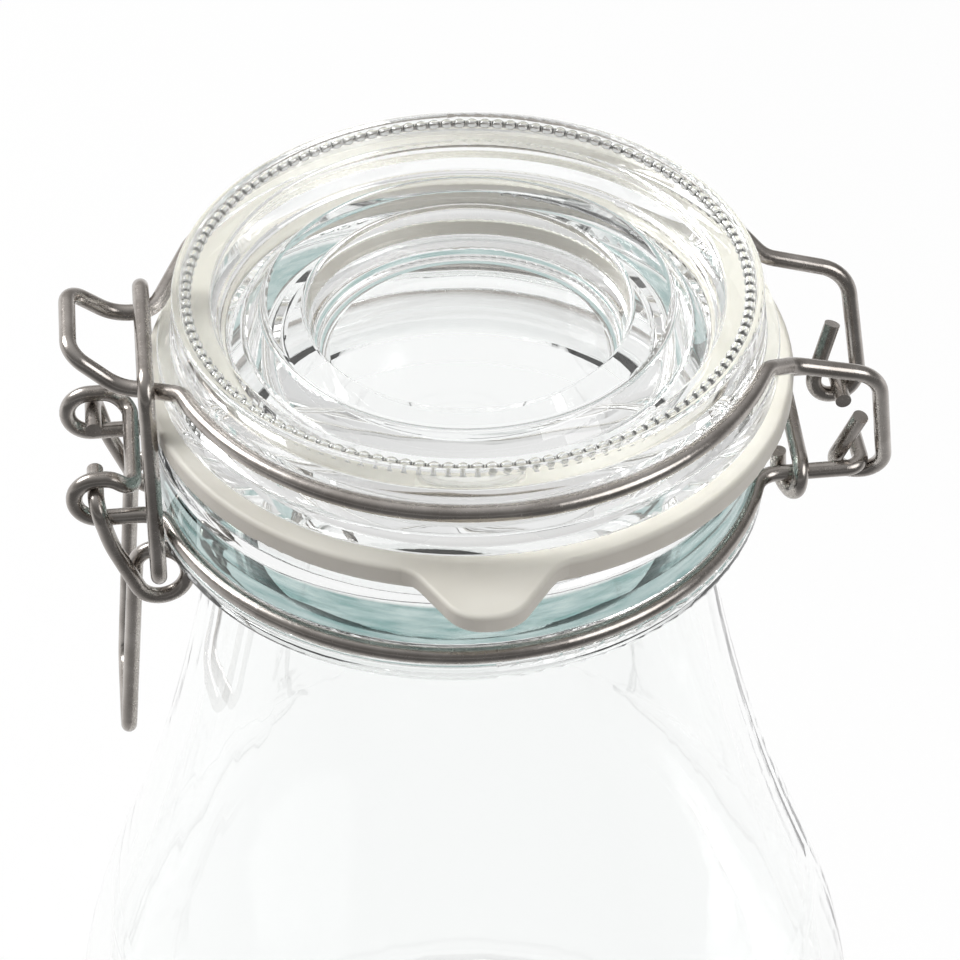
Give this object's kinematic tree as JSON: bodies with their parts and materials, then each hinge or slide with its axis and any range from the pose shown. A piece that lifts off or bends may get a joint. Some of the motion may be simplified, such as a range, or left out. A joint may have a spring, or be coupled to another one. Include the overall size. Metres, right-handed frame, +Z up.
{
  "type": "clip-top jar",
  "caption": "Clear glass jar with a long sloping shoulder, hinged glass lid, pale rubber gasket and a bent-wire clip clasp, shut.",
  "frame": {"origin": "on the jar's upright axis, at the plane it stands on", "axes": "+Z up through the lid; the clasp is on -X, the lid's hinge on +X and the gasket's pull tab on -Y"},
  "size_m": [0.138, 0.138, 0.2367],
  "materials": {
    "clear_glass": "clear pressed glass",
    "pale_rubber": "matt cream rubber",
    "steel_wire": "drawn steel wire, satin"
  },
  "bodies": {
    "base": {"jar": "clear_glass", "neck_wire": "steel_wire", "lever": "steel_wire", "bail": "steel_wire", "back_tie": "steel_wire"},
    "lid": {"lid": "clear_glass", "lid_wire": "steel_wire", "gasket": "pale_rubber"}
  },
  "joints": [
    {"name": "lid_hinge", "type": "hinge", "parent": "base", "child": "lid", "pos_m": [0.0613, 0, 0.2045], "axis": [0, 1, 0], "range_deg": [0, 120]}
  ]
}
